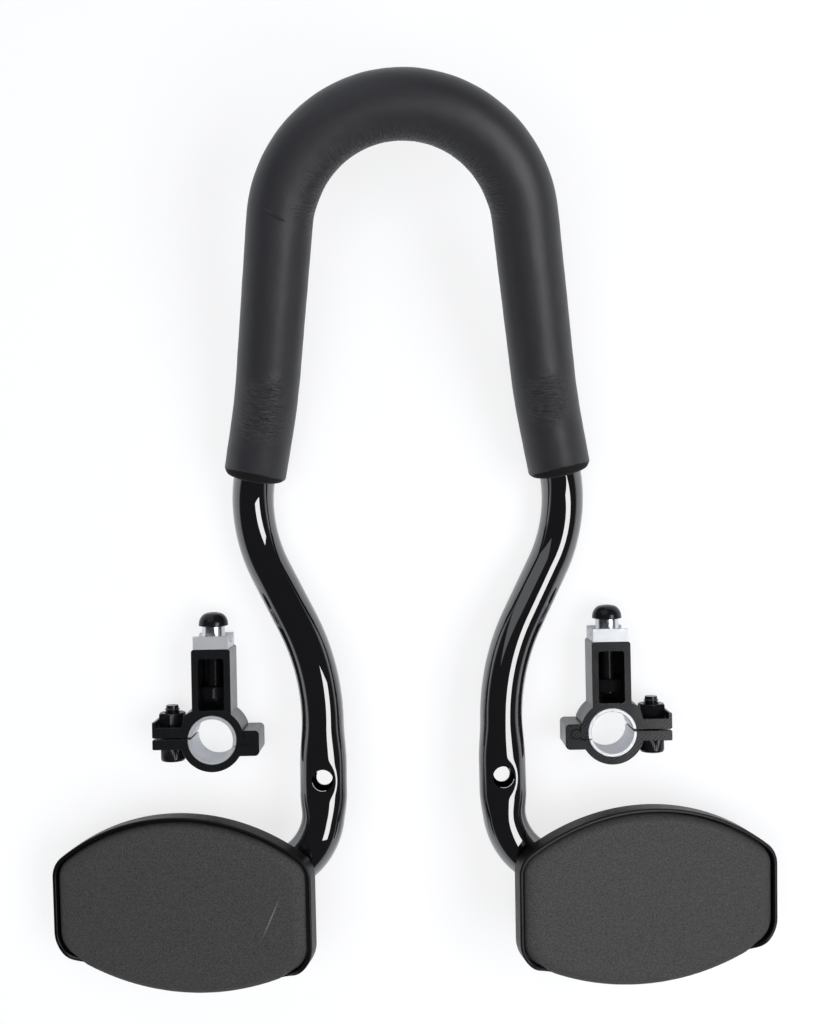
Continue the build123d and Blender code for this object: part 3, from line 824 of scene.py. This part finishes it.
class OBJECT_OT_arm_pads(bpy.types.Operator):
    """Refines each foam pad: sloping edge, slightly crowned top, rear lapping over the rim."""

    bl_idname = "object.arm_pads"
    bl_label = "Arm pads"

    def execute(self, context):
        sizes = context.scene.rest_sizes
        material = pad_foam(context.scene.finish_colours)
        for side, sign in SIDES.items():
            pad = dressed_copy(f"{side}_arm_pad", f"foam_pad_{side}", 0)
            rest = RestFrame(sizes, sign)
            edge = self.outline(pad, rest)
            modify(pad, "REMESH", mode="VOXEL", voxel_size=sizes.pad_voxel)
            self.shape(pad, sizes, rest, edge)
            modify(pad, "SMOOTH", factor=0.5, iterations=2)
            finish_piece(pad, material, [f"{side}_arm_pad"], 60)
        return {"FINISHED"}

    def outline(self, pad, rest):
        """A tree of points close together round the foot of the pad, in its own plane."""
        foot_band = 0.2 * MM
        spacing = 0.4 * MM
        places = [rest.spot(vertex.co) for vertex in pad.data.vertices]
        points = [spot for spot, height in places if abs(height) < foot_band]
        points.sort(key=lambda p: math.atan2(p.y, p.x))
        dense = []
        for start, end in zip(points, points[1:] + points[:1]):
            steps = max(round((end - start).length / spacing), 1)
            dense += [start.lerp(end, step / steps) for step in range(steps)]
        tree = kdtree.KDTree(len(dense))
        for index, point in enumerate(dense):
            tree.insert((*point, 0), index)
        tree.balance()
        return tree

    def shape(self, pad, sizes, rest, edge):
        """Slopes the edge down, raises the middle and draws the rear out over the rim's ends."""
        side_from = 30 * MM
        side_full = 60 * MM
        crown_inset = 30 * MM
        lap_inset = 14 * MM
        lap_from = sizes.mouth - 2 * MM
        lap_to = sizes.mouth + 0.6 * sizes.mouth_fade
        fan = 0.4
        for vertex in pad.data.vertices:
            spot, height = rest.spot(vertex.co)
            inset = edge.find((*spot, 0))[2]
            at_side = smooth_step(side_from, side_full, abs(spot.x))
            band = sizes.bevel_band * (0.5 + 0.5 * at_side)
            slope = max(1 - inset / band, 0)
            rise = sizes.crown * smooth_step(0, crown_inset, inset)
            share = min(max(height / sizes.pad_thickness, 0), 1)
            vertex.co += rest.up * share * (rise - sizes.bevel_drop * slope - sizes.crown)
            if spot.y < 0:
                lap = 1 - smooth_step(lap_from, lap_to, abs(spot.x))
                lap *= 1 - smooth_step(0, lap_inset, inset)
                if abs(spot.x) > sizes.mouth:
                    lap *= smooth_step(0.2, 0.6, share)
                out = rest.across * (fan * spot.x / sizes.mouth) - rest.ahead
                vertex.co += out.normalized() * sizes.overhang * lap


class OBJECT_OT_arm_cups(bpy.types.Operator):
    """Copies the rimmed cups, runs their rims out at the rear, and paints plugs and cup screws."""

    bl_idname = "object.arm_cups"
    bl_label = "Arm cups"

    def execute(self, context):
        sizes = context.scene.rest_sizes
        colours = context.scene.finish_colours
        satin = plain_plastic("satin_abs", colours.cup, roughness=0.4, grain=2 * MM, gloss=0.25)
        plug = plain_plastic("moulded_end_plug", colours.plug, roughness=0.35, grain=0.8 * MM, gloss=0.5)
        screw = machined_metal(
            "black_oxide_cup_screw", colours.oxide, metallic=0.8, roughness=0.35,
            spacing=0.6 * MM, turn=0, relief=0.2,
        )
        for side, sign in SIDES.items():
            cup = dressed_copy(f"{side}_arm_cup", f"rimmed_cup_{side}", 0)
            self.run_out(cup, sizes, RestFrame(sizes, sign))
            finish_piece(cup, satin, [f"{side}_arm_cup"], 35)
            for name, finish in ((f"{side}_end_plug", plug), (f"{side}_cup_screws", screw)):
                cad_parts[name].data.materials.clear()
                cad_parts[name].data.materials.append(finish)
        return {"FINISHED"}

    def run_out(self, cup, sizes, rest):
        """Lowers the rim towards its two ends, so that the foam laps over them."""
        tray_top = 0.3 * MM
        drop = 0.8
        for vertex in cup.data.vertices:
            spot, height = rest.spot(vertex.co)
            if spot.y < 0 and height > tray_top:
                low = 1 - smooth_step(sizes.mouth, sizes.mouth + sizes.mouth_fade, abs(spot.x))
                vertex.co -= rest.up * height * drop * low


class OBJECT_OT_bar_clamps(bpy.types.Operator):
    """Breaks the edges of the clamp bodies, caps, shims and saddles and paints them."""

    bl_idname = "object.bar_clamps"
    bl_label = "Bar clamps"

    def execute(self, context):
        sizes = context.scene.clamp_sizes
        colours = context.scene.finish_colours
        black = machined_metal(
            "black_anodised_aluminium", colours.anodised, metallic=0, roughness=0.24,
            spacing=1.5 * MM, turn=math.radians(48), relief=0.3,
        )
        bright = machined_metal(
            "bare_machined_aluminium", colours.bright, metallic=0.7, roughness=0.4,
            spacing=0.9 * MM, turn=math.radians(90), relief=0.9,
        )
        shim_edge = sizes.edge * 0.6
        saddle_edge = sizes.edge * 0.8
        kinds = (
            ("clamp_body", "clamp_alloy", black, sizes.edge),
            ("clamp_cap", "clamp_alloy", black, sizes.edge),
            ("upper_shim", "bright_alloy", bright, shim_edge),
            ("lower_shim", "bright_alloy", bright, shim_edge),
            ("saddle_block", "bright_alloy", bright, saddle_edge),
        )
        for side in SIDES:
            for kind, slot, finish, edge in kinds:
                piece = dressed_copy(f"{side}_{kind}", f"{kind}_dressed_{side}", edge)
                finish_piece(piece, finish, [f"{side}_{kind}"], 20)
        return {"FINISHED"}


class OBJECT_OT_clamp_fasteners(bpy.types.Operator):
    """Turns the bolts, nuts and spacer bushes of the clamps."""

    bl_idname = "object.clamp_fasteners"
    bl_label = "Clamp fasteners"

    def execute(self, context):
        sizes = context.scene.clamp_sizes
        colours = context.scene.finish_colours
        steel = machined_metal(
            "black_oxide_steel", colours.oxide, metallic=0.75, roughness=0.2,
            spacing=0.7 * MM, turn=0, relief=0.1,
        )
        alloy = machined_metal(
            "turned_aluminium", colours.bright, metallic=1, roughness=0.22,
            spacing=0.5 * MM, turn=math.radians(90), relief=0.3,
        )
        makers = (
            ("tower_bolt", self.tower_bolt, steel, "black_steel"),
            ("pinch_bolt", self.pinch_bolt, steel, "black_steel"),
            ("tower_nut", self.nut, steel, "black_steel"),
            ("pinch_nut", self.nut, steel, "black_steel"),
            ("spacer_bush", self.bush, alloy, "bright_alloy"),
        )
        for kind, make, finish, slot in makers:
            low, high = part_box(f"right_{kind}")
            foot = Vector(((low.x + high.x) / 2, low.y, (low.z + high.z) / 2))
            right = make(f"{kind}_dressed_right", foot, high.y - low.y, sizes)
            left = copy_of(right, f"{kind}_dressed_left", ACROSS * (-2 * foot.x))
            finish_piece(right, finish, [f"right_{kind}"])
            finish_piece(left, finish, [f"left_{kind}"])
        return {"FINISHED"}

    def tower_bolt(self, name, foot, height, sizes):
        """Threaded shank with a domed, socketed head on top."""
        point = 0.8 * MM
        plain = 8 * MM
        neck = 7 * MM
        edge = 0.3 * MM
        dome_steps = 12
        socket_depth = 3.5 * MM
        shank = height - sizes.dome_height
        bolt_radius = sizes.bolt_radius
        profile = [(TIP, 0), (bolt_radius - point, 0), (bolt_radius, point)]
        profile += thread(bolt_radius, sizes.thread_depth, sizes.thread_pitch, point, shank - plain)
        profile += [(bolt_radius, shank - neck), (bolt_radius, shank)]
        profile += [(sizes.dome_radius - edge, shank), (sizes.dome_radius, shank + edge)]
        rim = shank + sizes.dome_rim
        rise = sizes.dome_height - sizes.dome_rim
        for step in range(dome_steps + 1):
            share = step / dome_steps * math.pi / 2
            radius = sizes.dome_top + (sizes.dome_radius - sizes.dome_top) * math.cos(share)
            profile.append((radius, rim + rise * math.sin(share)))
        profile.append((TIP, height))
        bolt = turned(name, foot, profile, 64)
        socket = foot + AHEAD * (height - socket_depth)
        cut(bolt, hexagon("socket", socket, sizes.dome_socket, SOCKET_TOOL))
        return bolt

    def pinch_bolt(self, name, foot, height, sizes):
        """Knurled, socketed head below and a threaded shank above it."""
        point = 0.8 * MM
        plain = 14 * MM
        thread_length = 13.6 * MM
        round_size = 1.2 * MM
        round_in = 0.4 * MM
        round_up = 0.3 * MM
        slack = 0.1 * MM
        socket_room = 2 * MM
        sides = 96
        head = sizes.head_height
        edge = sizes.head_radius
        bolt_radius = sizes.bolt_radius
        knurl_low = 1.4 * MM
        knurl_high = head - 0.5 * MM
        profile = [(TIP, 0), (edge - round_size, 0), (edge - round_in, round_up), (edge, round_size)]
        profile += [(edge, knurl_low), (edge, knurl_high), (edge - round_in, head)]
        profile += [(bolt_radius, head), (bolt_radius, height - plain)]
        profile += thread(
            bolt_radius, sizes.thread_depth, sizes.thread_pitch, height - thread_length, height - point
        )
        profile += [(bolt_radius - point, height), (TIP, height)]
        bolt = turned(name, foot, profile, sides)
        for vertex in bolt.data.vertices:
            offset = vertex.co - foot
            radius = math.hypot(offset.x, offset.z)
            if radius > edge - slack and knurl_low - slack < offset.y < knurl_high + slack:
                step = round(math.atan2(offset.z, offset.x) / (2 * math.pi) * sides)
                if step % 2:
                    scale = 1 - sizes.knurl / radius
                    vertex.co.x = foot.x + offset.x * scale
                    vertex.co.z = foot.z + offset.z * scale
        cut(bolt, hexagon("socket", foot - AHEAD * socket_room, sizes.head_socket, SOCKET_TOOL))
        return bolt

    def nut(self, name, foot, height, sizes):
        """Hexagon with chamfered corners and a bored hole."""
        flat = sizes.nut_flats / 2
        wide = sizes.nut_flats / math.sqrt(3) + 0.2 * MM
        rise = sizes.nut_chamfer
        hole = sizes.bolt_radius + 0.1 * MM
        mouth = sizes.bolt_radius + 1.6 * MM
        mouth_depth = 1.5 * MM
        past = 1 * MM
        whole = height + 2 * past
        bar = hexagon(name, foot, sizes.nut_flats, height)
        barrel = [(TIP, 0), (flat, 0), (wide, rise), (wide, height - rise), (flat, height), (TIP, height)]
        cut(bar, turned("chamfer", foot, barrel, 64), operation="INTERSECT")
        drill = [(TIP, 0), (mouth, 0), (hole, mouth_depth)]
        drill += [(hole, whole - mouth_depth), (mouth, whole), (TIP, whole)]
        cut(bar, turned("bore", foot - AHEAD * past, drill, 48))
        return bar

    def bush(self, name, foot, height, sizes):
        """Plain turned bush with broken edges."""
        wide = sizes.bush_radius
        bore = sizes.bush_bore
        nick = 0.35 * MM
        profile = [
            (bore, nick), (bore + nick, 0), (wide - nick, 0), (wide, nick), (wide, height - nick),
            (wide - nick, height), (bore + nick, height), (bore, height - nick), (bore, nick),
        ]
        return turned(name, foot, profile, 64)


class OBJECT_OT_studio_stage(bpy.types.Operator):
    """Lays the white floor, sets the lamps and world and places the camera above."""

    bl_idname = "object.studio_stage"
    bl_label = "Studio stage"

    def execute(self, context):
        scene = context.scene
        floor_level = -0.3 * MM
        bpy.ops.mesh.primitive_plane_add(size=12, location=UP * floor_level)
        floor = context.object
        floor.name = "paper_floor"
        floor.data.materials.append(floor_paper(scene.finish_colours))
        cool = (0.93, 0.96, 1)
        self.lamp("key_softbox", spot=(0.9, -0.24, 1.4), size=(1.45, 0.72), power=20)
        self.lamp("front_panel", spot=(-0.55, 1.19, 0.92), size=(1.35, 1.5), power=4, tint=cool)
        scrim = self.lamp("top_scrim", spot=(-0.3, -0.15, 1.5), size=(1.0, 1.0), power=14)
        scrim.visible_glossy = False
        self.world(scene)
        self.camera(scene)
        scene.view_settings.view_transform = "Standard"
        return {"FINISHED"}

    def lamp(self, name, spot, size, power, tint=(1, 1, 1)):
        """A softbox aimed at the middle of the object."""
        target = UP * 30 * MM
        turn = (target - Vector(spot)).to_track_quat("-Z", "Y").to_euler()
        bpy.ops.object.light_add(type="AREA", location=spot, rotation=turn)
        lamp = bpy.context.object
        lamp.name = name
        lamp.data.shape = "RECTANGLE"
        lamp.data.size, lamp.data.size_y = size
        lamp.data.energy = power
        lamp.data.color = tint
        return lamp

    def world(self, scene):
        """Dark ceiling above, white walls low round the horizon."""
        made = bpy.data.worlds.new("studio_room")
        made.use_nodes = True
        tree = made.node_tree
        tree.nodes.clear()
        way = node(tree, "TexCoord").outputs["Generated"]
        parts = node(tree, "SeparateXYZ", {"Vector": way})
        level = node(
            tree, "MapRange",
            {"Value": parts.outputs["Z"], "From Min": 0.06, "From Max": 0.28, "To Min": 1, "To Max": 0.05},
            interpolation_type="SMOOTHSTEP",
        )
        back = node(
            tree, "Background",
            {"Color": (0.95, 0.97, 1, 1), "Strength": level.outputs["Result"]},
        )
        node(tree, "OutputWorld", {"Surface": back.outputs["Background"]})
        scene.world = made

    def camera(self, scene):
        """Straight down from above, turned a little, as the photograph was taken."""
        sensor = 36
        focal_pixels = 1231
        picture_pixels = 1024
        bpy.ops.object.camera_add(location=(0, 17 * MM, 676 * MM), rotation=(0, 0, math.radians(-1.1)))
        camera = bpy.context.object
        camera.name = "photo_camera"
        camera.data.sensor_fit = "VERTICAL"
        camera.data.sensor_height = sensor
        camera.data.lens = sensor * focal_pixels / picture_pixels
        scene.camera = camera


class VIEW3D_PT_extension(bpy.types.Panel):
    """Lists the steps that dress the handlebar extension."""

    bl_label = "Handlebar extension"
    bl_idname = "VIEW3D_PT_extension"
    bl_space_type = "VIEW_3D"
    bl_region_type = "UI"
    bl_category = "Extension"

    def draw(self, context):
        for step in STEPS:
            self.layout.operator(step.bl_idname)


STEPS = (
    OBJECT_OT_studio_stage,
    OBJECT_OT_extension_bar,
    OBJECT_OT_foam_grip,
    OBJECT_OT_arm_pads,
    OBJECT_OT_arm_cups,
    OBJECT_OT_bar_clamps,
    OBJECT_OT_clamp_fasteners,
)
GROUPS = {
    "bar_sizes": BarSizes,
    "rest_sizes": RestSizes,
    "clamp_sizes": ClampSizes,
    "finish_colours": FinishColours,
}


def register():
    for name, group in GROUPS.items():
        bpy.utils.register_class(group)
        setattr(bpy.types.Scene, name, PointerProperty(type=group))
    for step in (*STEPS, VIEW3D_PT_extension):
        bpy.utils.register_class(step)


def unregister():
    for step in (VIEW3D_PT_extension, *reversed(STEPS)):
        bpy.utils.unregister_class(step)
    for name, group in reversed(GROUPS.items()):
        delattr(bpy.types.Scene, name)
        bpy.utils.unregister_class(group)


def main():
    register()
    bpy.ops.object.studio_stage()
    bpy.ops.object.extension_bar()
    bpy.ops.object.foam_grip()
    bpy.ops.object.arm_pads()
    bpy.ops.object.arm_cups()
    bpy.ops.object.bar_clamps()
    bpy.ops.object.clamp_fasteners()


if __name__ == "__main__":
    main()
